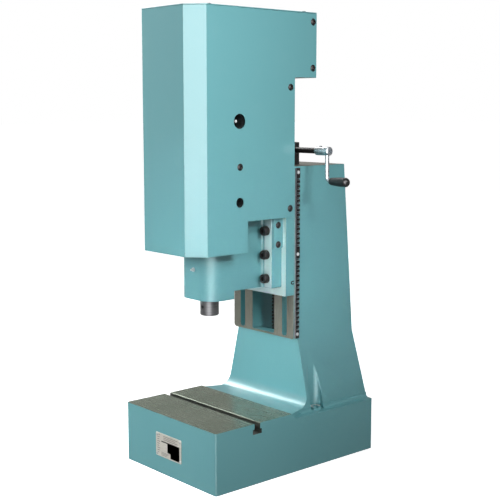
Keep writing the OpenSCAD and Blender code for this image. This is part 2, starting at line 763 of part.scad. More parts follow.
module cylinder_barrel() color(alu) translate([0, ram_y, barrel_z[0]]) difference() {
  cylinder(r = bore_r + 4, h = barrel_z[1] - barrel_z[0]);
  translate([0, 0, -1]) cylinder(r = bore_r, h = 100);
}

module cylinder_head() color(alu) cylinder_plate(barrel_z[1], top_h) {
  for (x = [-1, 1], y = [-1, 1]) translate([x * tie, ram_y + y * tie, barrel_z[1] - 1])
    cylinder(r = 4, h = 20);
}

module tie_rods() color(steel) for (x = [-1, 1], y = [-1, 1])
  translate([x * tie, ram_y + y * tie, cap_z + 6])
    cylinder(r = 4, h = barrel_z[1] + top_h - cap_z);

module tie_rod_nuts() color(steel) for (x = [-1, 1], y = [-1, 1])
  translate([x * tie, ram_y + y * tie, barrel_z[1] + top_h]) difference() {
    cylinder(r = 7.5, h = 5, $fn = 6);
    translate([0, 0, -1]) cylinder(r = 4, h = 10);
  }

module cylinder_screws() color(black) for (p = cylinder_screw_at)
  translate([p[0], p[1], cap_z + 11]) cap_screw(6, 28);

module rod_bush() color(bronze) translate([0, ram_y, cap_z]) difference() {
  cylinder(r = 12, h = base_h);
  translate([0, 0, -1]) cylinder(r = rod_r + fit, h = 30);
}

// ---------- air supply ----------
// rigid pipes between the valve and the two ends of the cylinder

module pipe_bend(y, z, start) {
  translate([0, y, z]) rotate([90, 0, 90]) rotate([0, 0, start])
    rotate_extrude(angle = 90) translate([pipe_bend_r, 0]) circle(pipe_r);
}

module air_pipes() color(black) {
  port_y = ram_y + cap_hw - 8;
  valve_y = pad_y + 10;
  turn_low = pipe_y - pipe_bend_r;
  turn_high = pipe_y + pipe_bend_r;
  translate([0, port_y, port_z[1]]) bar_y(pipe_r, valve_y - port_y);
  translate([0, port_y, port_z[0]]) bar_y(pipe_r, turn_low - port_y);
  pipe_bend(turn_low, port_z[0] + pipe_bend_r, -90);
  translate([0, pipe_y, port_z[0] + pipe_bend_r])
    cylinder(r = pipe_r, h = valve_low_z - port_z[0] - 2 * pipe_bend_r);
  pipe_bend(turn_high, valve_low_z - pipe_bend_r, 90);
  translate([0, turn_high, valve_low_z]) bar_y(pipe_r, valve_y - turn_high);
}

module valve_block() color(alu) difference() {
  translate([-22, valve_y[0], cover_shelf + sheet])
    cube([44, valve_y[1] - valve_y[0], 616 - cover_shelf - sheet]);
  for (z = [port_z[1], valve_low_z]) translate([0, valve_y[0] - 1, z]) bar_y(pipe_r, 9);
  for (x = [-inlet_x, inlet_x]) translate([x, valve_y[1] - 6, inlet_z]) bar_y(4, 10);
  for (x = [-14, 14]) translate([x, valve_y[0] + 12, cover_shelf]) cylinder(r = 2, h = 12);
}

module valve_screws() color(black) for (x = [-14, 14])
  translate([x, valve_y[0] + 12, cover_shelf]) rotate([180, 0, 0]) button_screw(4, 10);

module valve_coil() color(black) translate([22, valve_y[0] + 2, 572]) {
  cube([24, 20, 24]);
  translate([24, 10, 12]) bar_x(5, 4);
}

// push-in fitting for an 8 mm air line
module air_inlet() color(steel) translate([inlet_x, 0, inlet_z]) difference() {
  union() {
    translate([0, valve_y[1] - 6, 0]) bar_y(4, 7);
    translate([0, valve_y[1], 0]) bar_y(6.5, 14);
    translate([0, cover_rear, 0]) rotate([-90, 0, 0]) cylinder(r = 8, h = 5, $fn = 6);
    translate([0, cover_rear + 5 - eps, 0]) bar_y(5.8, 3);
  }
  translate([0, cover_rear - 9, 0]) bar_y(4.05, 30);
}

module exhaust_muffler() color(bronze) translate([-inlet_x, 0, inlet_z]) {
  translate([0, valve_y[1] - 6, 0]) bar_y(4, 7);
  translate([0, valve_y[1], 0]) bar_y(5, 14);
  translate([0, cover_rear, 0]) rotate([-90, 0, 0]) cylinder(r = 7, h = 4, $fn = 6);
  translate([0, cover_rear + 4 - eps, 0]) bar_y(5.5, 10);
  translate([0, cover_rear + 14 - 2 * eps, 0]) rotate([-90, 0, 0]) cylinder(r1 = 5.5, r2 = 4, h = 2);
}

// ---------- ram and piston ----------

module ram() color(steel) translate([0, ram_y, 0]) difference() {
  union() {
    translate([0, 0, ram_z]) cylinder(r1 = ram_r - 0.8, r2 = ram_r, h = 0.8 + eps);
    translate([0, 0, ram_z + 0.8]) cylinder(r = ram_r, h = ram_end - ram_z - 0.8);
    translate([0, 0, ram_end - eps]) cylinder(r = 6, h = 14);
  }
  translate([0, 0, ram_z - 1]) cylinder(r = 5, h = 26);
  translate([0, -ram_r - 1, set_screw_z]) bar_y(2.5, ram_r + 1);
}

module ram_set_screw() color(black) translate([0, ram_y - ram_r + 2.5, set_screw_z])
  difference() {
    bar_y(2.5, 5);
    translate([0, -1, 0]) rotate([-90, 0, 0]) cylinder(r = 1.4, h = 3, $fn = 6);
  }

module rod_coupling() color(steel) translate([0, ram_y, 0]) difference() {
  translate([0, 0, coupling_z[0]]) cylinder(r = ram_r - 0.5, h = coupling_z[1] - coupling_z[0]);
  translate([0, 0, coupling_z[0] - 1]) cylinder(r = 6, h = 20);
  translate([0, 0, coupling_z[0] + 14]) cylinder(r = rod_r, h = 20);
}

module piston_rod() color(steel) translate([0, ram_y, 0]) {
  translate([0, 0, coupling_z[0] + 14]) cylinder(r = rod_r, h = piston_z[0] - coupling_z[0] - 14);
  translate([0, 0, piston_z[0] - eps]) cylinder(r = 6, h = 26);
}

module piston() color(alu) translate([0, ram_y, piston_z[0]]) difference() {
  cylinder(r = bore_r - 0.3, h = piston_z[1] - piston_z[0]);
  translate([0, 0, -1]) cylinder(r = 6, h = 30);
  translate([0, 0, 7]) difference() {
    cylinder(r = bore_r + 1, h = 6);
    translate([0, 0, -1]) cylinder(r = bore_r - 5, h = 8);
  }
}

module piston_seal() color(black) translate([0, ram_y, piston_z[0] + 7]) difference() {
  cylinder(r = bore_r - 0.06, h = 6);
  translate([0, 0, -1]) cylinder(r = bore_r - 5, h = 8);
}

module piston_nut() color(steel) translate([0, ram_y, piston_z[1]]) difference() {
  cylinder(r = 10.5, h = 5, $fn = 6);
  translate([0, 0, -1]) cylinder(r = 6, h = 10);
}

frame_casting();
name_plate();
name_plate_rivets();
height_rack();
rack_screws();
gear_housing();
gear_housing_screws();
spindle_top_bush();
spindle_foot_bush();
shaft_bushes();
lead_screw();
spindle_gear();
cross_shaft();
shaft_gear();
crank_hub();
crank_rod();
crank_set_screw();
crank_handle();
carriage_plate();
nut_bracket();
nut_bracket_screws();
spindle_nut();
clamp_bars();
head_screws();
height_pointer();
head_casting();
cylinder_yoke();
yoke_screws();
ram_bush_lower();
ram_bush_upper();
ram_wiper();
grease_nipple();
cover_brackets();
bracket_screws();
cover_shell();
cover_top();
cover_top_screws();
cover_back_plate();
cover_screws();
cover_spacers();
cylinder_base();
cylinder_barrel();
cylinder_head();
tie_rods();
tie_rod_nuts();
cylinder_screws();
rod_bush();
valve_block();
valve_screws();
valve_coil();
air_pipes();
air_inlet();
exhaust_muffler();
ram();
ram_set_screw();
rod_coupling();
piston_rod();
piston();
piston_seal();
piston_nut();
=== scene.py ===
"""Looks of a pneumatic arbor press: C-frame, T-slot table, height-adjustable head under a sheet cover."""
import json
import math

import bmesh
import bpy
from mathutils import Matrix, Vector


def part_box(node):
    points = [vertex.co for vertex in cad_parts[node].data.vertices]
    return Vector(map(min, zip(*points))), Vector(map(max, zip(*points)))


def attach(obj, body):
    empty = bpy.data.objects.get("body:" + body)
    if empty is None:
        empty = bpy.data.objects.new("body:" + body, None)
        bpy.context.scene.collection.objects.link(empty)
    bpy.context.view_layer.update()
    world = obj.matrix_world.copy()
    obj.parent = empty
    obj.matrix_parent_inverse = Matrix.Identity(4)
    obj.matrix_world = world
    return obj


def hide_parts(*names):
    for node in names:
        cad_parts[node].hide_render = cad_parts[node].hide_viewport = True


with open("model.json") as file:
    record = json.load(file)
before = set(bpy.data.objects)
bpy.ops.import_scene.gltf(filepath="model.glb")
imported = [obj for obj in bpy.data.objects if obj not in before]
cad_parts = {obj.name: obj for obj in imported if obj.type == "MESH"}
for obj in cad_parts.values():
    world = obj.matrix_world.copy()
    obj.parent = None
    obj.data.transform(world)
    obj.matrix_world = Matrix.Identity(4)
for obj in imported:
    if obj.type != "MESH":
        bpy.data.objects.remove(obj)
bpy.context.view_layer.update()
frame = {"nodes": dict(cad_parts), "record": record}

MM = 0.001
BODY_OF = {n: b for b, names in frame["record"]["behaviour"]["bodies"].items() for n in names}


# ---------------------------------------------------------------- shader helpers

def srgb(r, g, b):
    """Linear colour with alpha from 0..255 display values."""
    def channel(v):
        v /= 255
        return v / 12.92 if v <= 0.04045 else ((v + 0.055) / 1.055) ** 2.4
    return (channel(r), channel(g), channel(b), 1.0)


class Paint:
    """One node material, built up call by call."""

    def __init__(self, name):
        self.material = bpy.data.materials.new(name)
        self.material.use_nodes = True
        self.tree = self.material.node_tree
        self.tree.nodes.clear()
        output = self.add("OutputMaterial")
        self.shader = self.add("BsdfPrincipled")
        self.tree.links.new(self.shader.outputs[0], output.inputs["Surface"])
        self.place = self.add("TexCoord").outputs["Object"]

    def add(self, kind, settings=None, **inputs):
        """A new shader node with its settings and inputs, spaces in input names written as underscores."""
        node = self.tree.nodes.new("ShaderNode" + kind)
        for key, value in (settings or {}).items():
            setattr(node, key, value)
        for key, value in inputs.items():
            self.put(node.inputs[key.replace("_", " ")], value)
        return node

    def put(self, socket, value):
        """Links a socket to a node's output, or sets it to a constant."""
        if isinstance(value, bpy.types.NodeSocket):
            self.tree.links.new(value, socket)
        else:
            socket.default_value = value

    def stretch(self, scale, shift=(0, 0, 0)):
        node = self.add("Mapping", Vector=self.place)
        node.inputs["Scale"].default_value = scale
        node.inputs["Location"].default_value = shift
        return node.outputs[0]

    def noise(self, scale, detail=3.0, rough=0.5, place=None, warp=0.0):
        node = self.add("TexNoise", Scale=scale, Detail=detail, Roughness=rough, Distortion=warp)
        self.tree.links.new(place or self.place, node.inputs["Vector"])
        return node.outputs["Fac"]

    def remap(self, value, low, high, to_low=0.0, to_high=1.0):
        node = self.add("MapRange", Value=value)
        node.inputs["From Min"].default_value = low
        node.inputs["From Max"].default_value = high
        node.inputs["To Min"].default_value = to_low
        node.inputs["To Max"].default_value = to_high
        return node.outputs[0]

    def mix(self, factor, a, b):
        node = self.add("Mix", {"data_type": "RGBA"})
        self.put(node.inputs["Factor"], factor)
        self.put(node.inputs[6], a)
        self.put(node.inputs[7], b)
        return node.outputs[2]

    def bump(self, height, depth, below=None):
        """Bump from a height of 0..1. depth: its real depth in metres, below: the bump it lies on."""
        node = self.add("Bump", Strength=1.0, Distance=depth, Height=height)
        if below is not None:
            self.tree.links.new(below, node.inputs["Normal"])
        return node.outputs[0]

    def finish(self, colour, roughness, normal=None, **constants):
        self.put(self.shader.inputs["Base Color"], colour)
        self.put(self.shader.inputs["Roughness"], roughness)
        if normal is not None:
            self.tree.links.new(normal, self.shader.inputs["Normal"])
        for key, value in constants.items():
            self.shader.inputs[key.replace("_", " ")].default_value = value
        return self.material


# ---------------------------------------------------------------- materials

TEAL = srgb(98, 160, 166)
TEAL_DEEP = srgb(93, 155, 161)
TEAL_PALE = srgb(114, 172, 176)
DUST = srgb(170, 190, 186)
BARE_CHIP = srgb(96, 98, 92)
MILLED_GRAIN = srgb(150, 152, 142)
OIL_STAIN = srgb(74, 66, 52)
STEEL_DARK, STEEL_LIGHT = srgb(150, 156, 160), srgb(214, 218, 222)


def enamel(name, grain, waves, gloss, wear_and_edge_highlight, deep=TEAL_DEEP, mid=TEAL, pale=TEAL_PALE):
    """Sprayed enamel. grain: grit under the paint in mm, waves: filled unevenness in mm,
    wear_and_edge_highlight: whether it is chipped, and paled in patches, partly as rubbed paint and partly
    as a painted highlight on the edges it is used for."""
    p = Paint(name)
    clouds = p.noise(5, 1, 0.4)
    fine = p.noise(900, 2, 0.6)
    tone = p.mix(p.remap(clouds, 0.35, 0.68), deep, mid)
    tone = p.mix(p.remap(fine, 0.3, 0.75, 0, 0.18), tone, pale)
    dust = p.noise(38, 5, 0.65, warp=0.4)
    tone = p.mix(p.remap(dust, 0.5, 0.8, 0, 0.03), tone, DUST)
    if wear_and_edge_highlight:
        chips = p.remap(p.noise(260, 5, 0.7, warp=0.6), 0.62, 0.66)
        # Paler patches: partly rubbed paint, partly a painted highlight.
        rub_and_edge_highlight = p.remap(p.noise(45, 3, 0.6), 0.4, 0.7, 0.1, 0.6)
        tone = p.mix(rub_and_edge_highlight, tone, TEAL_PALE)
        tone = p.mix(chips, tone, BARE_CHIP)
    rough = p.remap(p.noise(20, 1, 0.4), 0.3, 0.7, gloss - 0.005, gloss + 0.005)
    normal = p.bump(p.noise(26, 2, 0.5), waves * MM)
    normal = p.bump(p.noise(420, 3, 0.55), grain * MM, below=normal)
    normal = p.bump(fine, grain * 0.25 * MM, below=normal)
    return p.finish(tone, rough, normal, Coat_Weight=0.22, Coat_Roughness=0.22)


def milled(name, low, high, gloss, lines, arcs, metal=0.75, grain=0.35, stains=0.25):
    """Machined iron. lines: how fine the grain is along each axis, arcs: shift of the cutter's arcs."""
    p = Paint(name)
    drawn = p.noise(60, 4, 0.65, p.stretch(lines))
    blotch = p.noise(14, 4, 0.6, warp=0.5)
    tone = p.mix(p.remap(blotch, 0.3, 0.7), low, high)
    tone = p.mix(p.remap(drawn, 0.35, 0.7, 0, grain), tone, MILLED_GRAIN)
    stain = p.remap(p.noise(55, 5, 0.7), 0.6, 0.75, 0, stains)
    tone = p.mix(stain, tone, OIL_STAIN)
    rough = p.remap(p.noise(40, 4, 0.6, p.stretch(lines)), 0.3, 0.7, gloss - 0.07, gloss + 0.09)
    normal = p.bump(drawn, 0.012 * MM)
    if arcs:
        wave = p.add("TexWave", {"wave_type": "RINGS", "rings_direction": "Z"}, Scale=150.0,
                     Distortion=1.5, Detail=2.0, Vector=p.stretch((1, 1, 1), shift=arcs))
        normal = p.bump(wave.outputs["Fac"], 0.006 * MM, below=normal)
    return p.finish(tone, rough, normal, Metallic=metal)


def turned(name, low, high, gloss, axis, metal=1.0, depth=0.008):
    """Steel turned on a lathe: fine rings across the given axis (0, 1 or 2)."""
    p = Paint(name)
    rings_scale = [6.0, 6.0, 6.0]
    rings_scale[axis] = 1400.0
    rings = p.noise(1.0, 3, 0.6, p.stretch(rings_scale))
    blotch = p.noise(50, 4, 0.6)
    tone = p.mix(p.remap(rings, 0.3, 0.7), low, high)
    tone = p.mix(p.remap(blotch, 0.5, 0.75, 0, 0.3), tone, low)
    rough = p.remap(rings, 0.3, 0.7, gloss - 0.06, gloss + 0.08)
    return p.finish(tone, rough, p.bump(rings, depth * MM), Metallic=metal)


def black_oxide(name):
    """Blackened steel, worn to bare metal in specks."""
    p = Paint(name)
    tone = p.mix(p.remap(p.noise(180, 4, 0.6), 0.3, 0.7), srgb(22, 22, 25), srgb(44, 40, 38))
    worn = p.remap(p.noise(700, 4, 0.7), 0.6, 0.7, 0, 0.35)
    tone = p.mix(worn, tone, srgb(96, 88, 82))
    rough = p.remap(p.noise(400, 3, 0.6), 0.3, 0.7, 0.32, 0.5)
    return p.finish(tone, rough, p.bump(p.noise(1500, 3, 0.6), 0.01 * MM), Metallic=0.55)


def moulded(name, colour, light, gloss, grain=0.012):
    """Plain matt surface: plastic, rubber, primer or ink. grain: depth of its texture in mm."""
    p = Paint(name)
    tone = p.mix(p.remap(p.noise(90, 4, 0.6), 0.3, 0.7), colour, light)
    rough = p.remap(p.noise(300, 3, 0.6), 0.3, 0.7, gloss - 0.05, gloss + 0.08)
    return p.finish(tone, rough, p.bump(p.noise(1600, 2, 0.5), grain * MM))


def plate_face(name):
    """Etched aluminium plate, warm white."""
    p = Paint(name)
    brushed = p.noise(40, 4, 0.6, p.stretch((2, 1, 60)))
    tone = p.mix(p.remap(brushed, 0.3, 0.7), srgb(196, 193, 182), srgb(222, 220, 210))
    tone = p.mix(p.remap(p.noise(80, 5, 0.7), 0.58, 0.75, 0, 0.3), tone, srgb(150, 145, 130))
    rough = p.remap(brushed, 0.3, 0.7, 0.34, 0.5)
    return p.finish(tone, rough, p.bump(brushed, 0.006 * MM), Metallic=0.25)


CAST = enamel("cast_enamel", 0.035, 0.16, 0.37, False)
# Pale teal for the flange's front and the carriage's front: a painted highlight on the same paint.
PAINTED_HIGHLIGHT_PAINT = enamel("painted_highlight_enamel", 0.015, 0.06, 0.32, False,
                    srgb(196, 226, 227), srgb(206, 233, 233), srgb(216, 239, 239))
SHEET = enamel("sheet_enamel", 0.010, 0.02, 0.28, False, srgb(97, 159, 165))
# The sheets' rounded edges: chipped, and paler in patches as rubbed paint and a painted highlight.
SHEET_EDGE = enamel("sheet_enamel_edge", 0.010, 0.04, 0.28, True)
TABLE_IRON = milled("table_iron", srgb(104, 117, 98), srgb(124, 134, 117), 0.24, (1, 22, 8),
                    (-0.4, 0.3, 0), 0.45, 0.12, 0.06)
PAD_IRON = milled("pad_iron", srgb(98, 101, 91), srgb(116, 115, 105), 0.42, (30, 8, 1), None, 0.35)
SEAT_IRON = milled("seat_iron", srgb(178, 182, 180), srgb(200, 203, 200), 0.42, (1, 1, 1), None,
                   0.3, 0.1, 0.03)
# Near-black iron for the T-slot's walls and floor: painted shade. The underside takes it too.
SHADE_BLACK_IRON = milled("near_black_iron_painted_shade", srgb(24, 32, 27), srgb(44, 50, 42), 0.6, (1, 1, 1), None, 0.2, 0.1)
STEEL_X = turned("turned_steel_x", STEEL_DARK, STEEL_LIGHT, 0.3, 0)
STEEL_Y = turned("turned_steel_y", STEEL_DARK, STEEL_LIGHT, 0.3, 1)
STEEL_Z = turned("turned_steel_z", STEEL_DARK, STEEL_LIGHT, 0.3, 2)
RAM_STEEL = turned("ram_steel", srgb(78, 79, 81), srgb(110, 110, 112), 0.4, 2, 0.5, 0.003)
BLACK = black_oxide("black_oxide")
BRONZE = turned("bearing_bronze", srgb(150, 108, 52), srgb(204, 160, 92), 0.34, 2)
SINTER = turned("sintered_bronze", srgb(120, 88, 44), srgb(178, 140, 84), 0.6, 1, depth=0.05)
ALU = milled("cast_aluminium", srgb(160, 163, 166), srgb(202, 204, 206), 0.38, (1, 20, 8), None, 0.9)
PLASTIC = moulded("black_plastic", srgb(16, 16, 18), srgb(30, 29, 30), 0.34)
COIL = moulded("coil_plastic", srgb(22, 23, 26), srgb(36, 36, 40), 0.5, 0.03)
# Near-black matt steel for the ram's set screw, darker than the black oxide: painted shade.
SHADE_DARK_STEEL = moulded("painted_shade_steel", srgb(12, 12, 13), srgb(22, 22, 23), 0.6)
RUBBER = moulded("seal_rubber", srgb(14, 14, 14), srgb(26, 26, 25), 0.62, 0.02)
# Near-black paint for the cylinder yoke, so the cover's holes look dark inside: painted shade.
NEAR_BLACK_SHADE_PRIMER = moulded("painted_shade_primer", srgb(30, 36, 37), srgb(42, 49, 50), 0.5, 0.03)
# Steel coloured near white as a painted glint; used on the pin ends, the rack's screws and the grease
# nipple.
GLINT_WHITE_STEEL = turned("bright_steel", srgb(214, 218, 220), srgb(240, 242, 244), 0.24, 0, 0.25)
OILED = turned("oiled_steel", srgb(52, 52, 50), srgb(86, 86, 82), 0.3, 2)
RACK_SIDE = moulded("rack_side", srgb(112, 108, 112), srgb(134, 129, 133), 0.42)
FAINT_INK = moulded("plate_faint_ink", srgb(128, 124, 116), srgb(150, 146, 138), 0.45)
PLATE = plate_face("plate_face")
INK = moulded("plate_ink", srgb(18, 17, 17), srgb(34, 32, 31), 0.4)


# ---------------------------------------------------------------- mesh helpers

EDGE_ROOM = 0.3                   # how far, in mm, an edge may lie from the height it is looked for at
WELD = 0.012 * MM                 # points closer than this become one
FLAT = math.radians(0.4)          # faces that lean less than this to each other become one
ROUNDED = math.radians(32)        # edges sharper than this are rounded
CREASE = math.radians(40)         # edges sharper than this keep a crease in the shading
LATHE_CREASE, SCREW_CREASE = 32, 28    # the same for turned pieces and for screws, in degrees


def link(name, mesh):
    obj = bpy.data.objects.new(name, mesh)
    bpy.context.scene.collection.objects.link(obj)
    return obj


def bmesh_of(node):
    """A CAD node's mesh with its seams welded and its flat areas joined into single faces."""
    bm = bmesh.new()
    bm.from_mesh(frame["nodes"][node].data)
    bmesh.ops.remove_doubles(bm, verts=bm.verts, dist=WELD)
    bmesh.ops.dissolve_degenerate(bm, dist=WELD, edges=bm.edges)
    bmesh.ops.dissolve_limit(bm, angle_limit=FLAT, verts=bm.verts, edges=bm.edges)
    return bm


def islands(node):
    """Lowest and highest corner of each separate solid in a CAD node."""
    bm = bmesh.new()
    bm.from_mesh(frame["nodes"][node].data)
    bmesh.ops.remove_doubles(bm, verts=bm.verts, dist=0.002 * MM)
    left = set(bm.verts)
    boxes = []
    while left:
        stack = [left.pop()]
        low, high = stack[0].co.copy(), stack[0].co.copy()
        while stack:
            v = stack.pop()
            low = Vector(map(min, low, v.co))
            high = Vector(map(max, high, v.co))
            for e in v.link_edges:
                other = e.other_vert(v)
                if other in left:
                    left.remove(other)
                    stack.append(other)
        boxes.append((low, high))
    bm.free()
    return sorted(boxes, key=lambda b: tuple(round(c, 5) for c in b[0]))


def apply_modifiers(obj):
    graph = bpy.context.evaluated_depsgraph_get()
    mesh = bpy.data.meshes.new_from_object(obj.evaluated_get(graph))
    obj.modifiers.clear()
    obj.data = mesh


def register(obj, node):
    """Puts a piece on the body of the CAD node that it takes the place of."""
    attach(obj, BODY_OF[node])
    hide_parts(node)
    return obj


def near(a, b, tolerance=0.06):
    """True if two places differ by less than a tolerance in mm."""
    return abs(a - b) < tolerance * MM


def level(edge, height):
    """True if both ends of an edge lie at a height."""
    return all(near(v.co.z, height, EDGE_ROOM) for v in edge.verts)


def refined(node, materials, width, pick=None, edge=None, segments=2, shortest=3.0,
            wanted=None, clamp=False):
    """A copy of a CAD node with edges rounded by width (mm).

    pick(face) gives the index of a face's material, and edge that of the roundings. wanted(edge) says
    which of the sharp edges longer than shortest (mm) are rounded. clamp keeps roundings from meeting.
    """
    bm = bmesh_of(node)
    for face in bm.faces:
        face.material_index = pick(face) if pick else 0
    weight = bm.edges.layers.float.new("bevel_weight_edge")
    for e in bm.edges:
        sharp = len(e.link_faces) == 2 and e.calc_face_angle(0) > ROUNDED
        if sharp and e.calc_length() > shortest * MM:
            e[weight] = 1.0 if wanted is None or wanted(e) else 0.0
    mesh = bpy.data.meshes.new(node + "_skin")
    bm.to_mesh(mesh)
    bm.free()
    if "custom_normal" in mesh.attributes:
        mesh.attributes.remove(mesh.attributes["custom_normal"])
    for material in materials:
        mesh.materials.append(material)
    obj = link(node + "_skin", mesh)
    bevel = obj.modifiers.new("edges", "BEVEL")
    bevel.width = width * MM
    bevel.segments = segments
    bevel.limit_method = "WEIGHT"
    bevel.use_clamp_overlap = clamp
    bevel.miter_outer = "MITER_ARC"
    bevel.material = -1 if edge is None else edge
    apply_modifiers(obj)
    obj.data.shade_smooth()
    obj.data.set_sharp_from_angle(angle=CREASE)
    even = obj.modifiers.new("even_normals", "WEIGHTED_NORMAL")
    even.weight = 100
    even.keep_sharp = True
    return register(obj, node)


def rings_mesh(bm, rings, stand):
    """Skins a stack of rings, each a list of (x, y, z) of equal length, and closes both ends. The matrix
    stand puts it in its place."""
    rows = [[bm.verts.new(stand @ Vector(p)) for p in ring] for ring in rings]
    count = len(rows[0])
    for a, b in zip(rows, rows[1:]):
        for k in range(count):
            bm.faces.new((a[k], a[(k + 1) % count], b[(k + 1) % count], b[k]))
    for row, flip in ((rows[0], True), (rows[-1], False)):
        centre = bm.verts.new(sum((v.co for v in row), Vector()) / count)
        for k in range(count):
            pair = (row[k], row[(k + 1) % count])
            bm.faces.new((centre, *(reversed(pair) if flip else pair)))


def circle(r, z, count, wobble=0.0):
    """A ring of points; wobble moves every second point outward, for a knurl."""
    return [((r + wobble * (k % 2)) * math.cos(2 * math.pi * k / count),
             (r + wobble * (k % 2)) * math.sin(2 * math.pi * k / count), z) for k in range(count)]


def hexagon(flat, z, count):
    """A hexagon of the given width across flats, with as many points as a ring."""
    points = []
    for k in range(count):
        a = 2 * math.pi * k / count
        r = flat / 2 / math.cos((a + math.pi / 6) % (math.pi / 3) - math.pi / 6)
        points.append((r * math.cos(a), r * math.sin(a), z))
    return points


def along(origin, axis):
    """A matrix that stands a part's Z along axis at origin."""
    turn = Vector(axis).to_track_quat("Z", "Y").to_matrix().to_4x4()
    return Matrix.Translation(origin) @ turn


def closed_mesh(bm, name, angle=None):
    """The mesh of a closed body, smooth but for edges sharper than angle (degrees), or flat without one."""
    bmesh.ops.recalc_face_normals(bm, faces=bm.faces)
    mesh = bpy.data.meshes.new(name)
    bm.to_mesh(mesh)
    bm.free()
    if angle is not None:
        mesh.shade_smooth()
        mesh.set_sharp_from_angle(angle=math.radians(angle))
    return mesh


def lathe(name, profile, origin, axis, count=64):
    """A solid of revolution from (radius, height) pairs in mm."""
    bm = bmesh.new()
    rings = [circle(r * MM, z * MM, count) for r, z in profile]
    rings_mesh(bm, rings, along(origin, axis))
    return link(name, closed_mesh(bm, name, LATHE_CREASE))


# A cap screw's head is CAP_HEAD times its thread plus CAP_EXTRA mm across, a button's BUTTON_HEAD times
# across and BUTTON_RISE times high. KNURL is how deep a cap's knurl is, in mm.
CAP_HEAD, CAP_EXTRA = 1.5, 1.2
BUTTON_HEAD, BUTTON_RISE = 1.9, 0.55
KNURL = 0.09


def screw_rings(kind, d, length, count=48):
    """Rings of a socket screw of thread d (mm), from the shank's tip to the bottom of the socket."""
    if kind == "cap":
        head, high, flat = CAP_HEAD * d + CAP_EXTRA, d, 0.8 * d
        outside = [(head / 2 - 0.25, 0), (head / 2 - 0.09, 0.3, 1), (head / 2 - 0.09, 0.84 * d, 1),
                   (head / 2 - 0.18, 0.86 * d), (head / 2 - 0.45, 0.97 * d), (head / 2 - 0.75, d)]
    else:
        head, high, flat = BUTTON_HEAD * d, BUTTON_RISE * d, 0.6 * d
        ball = (head * head / 4 + high * high) / (2 * high)
        reach = math.asin(min(1, head / 2 / ball))
        outside = [(head / 2 - 0.02, 0), (head / 2, 0.12 * high)]
        for k in range(1, 7):
            a = reach * (1 - k / 7)
            outside.append((ball * math.sin(a), high - ball * (1 - math.cos(a))))
        outside = [p for p in outside if p[0] > 0.42 * d]
        high = outside[-1][1]
    rings = [circle((d / 2 - 0.5) * MM, -length * MM, count),
             circle(d / 2 * MM, (-length + 0.5) * MM, count),
             circle(d / 2 * MM, 0, count)]
    rings += [circle(p[0] * MM, p[1] * MM, count, KNURL * MM if len(p) > 2 else 0.0) for p in outside]
    floor = high - 0.5 * d if kind == "cap" else high - 0.3 * d
    rings += [circle((flat / 2 * 1.155 + 0.12) * MM, high * MM, count),
              hexagon(flat * MM, (high - 0.2) * MM, count),
              hexagon(flat * MM, floor * MM, count),
              circle(flat * 0.2 * MM, (floor - 0.35) * MM, count)]
    return rings


def screws(node, material, kind, axis_of):
    """Detailed socket screws in place of a node's plain ones. axis_of(low, high), from a screw's box, points
    out of its head."""
    bm = bmesh.new()
    for low, high in islands(node):
        axis = Vector(axis_of(low, high))
        n = max(range(3), key=lambda i: abs(axis[i]))
        across = max((high - low)[i] for i in range(3) if i != n) / MM
        whole = (high - low)[n] / MM
        d = (across - CAP_EXTRA) / CAP_HEAD if kind == "cap" else across / BUTTON_HEAD
        rise = d if kind == "cap" else BUTTON_RISE * d
        top = (low + high) / 2
        top[n] = high[n] if axis[n] > 0 else low[n]
        under = top - axis * (rise * MM)
        rings_mesh(bm, screw_rings(kind, d, whole - rise), along(under, axis))
    mesh = closed_mesh(bm, node + "_detail", SCREW_CREASE)
    mesh.materials.append(material)
    register(link(node + "_detail", mesh), node)


def sideways(low, high):
    """Away from the press's middle, to its own side."""
    return (math.copysign(1, low.x + high.x), 0, 0)


def forward(low, high):
    return (0, -1, 0)


def upward(low, high):
    return (0, 0, 1)


# ---------------------------------------------------------------- frame casting

TABLE_Z = 84 * MM
SEAT_Z = 80.4 * MM                # seats of the two foundation bolts
LEDGE_Z = 76 * MM                 # ledges beside the column's foot
COLUMN_Z = 95 * MM                # above it, edges belong to the column alone
SLOT_FLOOR_Z = 69 * MM
SLOT_REACH = 8.2 * MM             # half the width of the T-slot's foot, with some room
PAD_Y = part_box("carriage_plate")[1].y
CARRIAGE_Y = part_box("carriage_plate")[0].y
FLANGE_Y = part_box("cover_brackets")[0].y - 1 * MM
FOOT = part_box("frame_casting")
COLUMN_TOP = FOOT[1].z
SLOT_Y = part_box("ram")[0].y / 2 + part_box("ram")[1].y / 2


def frame_zone(face):
    """0 paint, 1 milled table, 2 milled pad, 3 near-black iron, as painted shade in the T-slot, also on the
    underside, 4 bolt seat.
    """
    c, n = face.calc_center_median(), face.normal
    if n.z > 0.99 and near(c.z, TABLE_Z):
        return 1
    if abs(c.y - SLOT_Y) < SLOT_REACH and SLOT_FLOOR_Z < c.z < TABLE_Z and abs(n.x) < 0.9:
        return 3
    if n.y < -0.99 and near(c.y, PAD_Y):
        return 2
    if n.z < -0.99 and near(c.z, 0):
        return 3
    if n.z > 0.99 and near(c.z, SEAT_Z):
        return 4
    if n.z > 0.99 and near(c.z, COLUMN_TOP):
        return 2
    return 0


def frame_edge(edge):
    """True for the long edges of table, column, ledges and underside, where the casting is fettled."""
    side = all(near(abs(v.co.x), FOOT[1].x, EDGE_ROOM) for v in edge.verts)
    column = min(v.co.z for v in edge.verts) > COLUMN_Z
    return column or level(edge, TABLE_Z) or level(edge, 0) or level(edge, LEDGE_Z) and side


refined("frame_casting", [CAST, TABLE_IRON, PAD_IRON, SHADE_BLACK_IRON, SEAT_IRON], 0.8, frame_zone,
        segments=3, wanted=frame_edge)


# ---------------------------------------------------------------- head and carriage

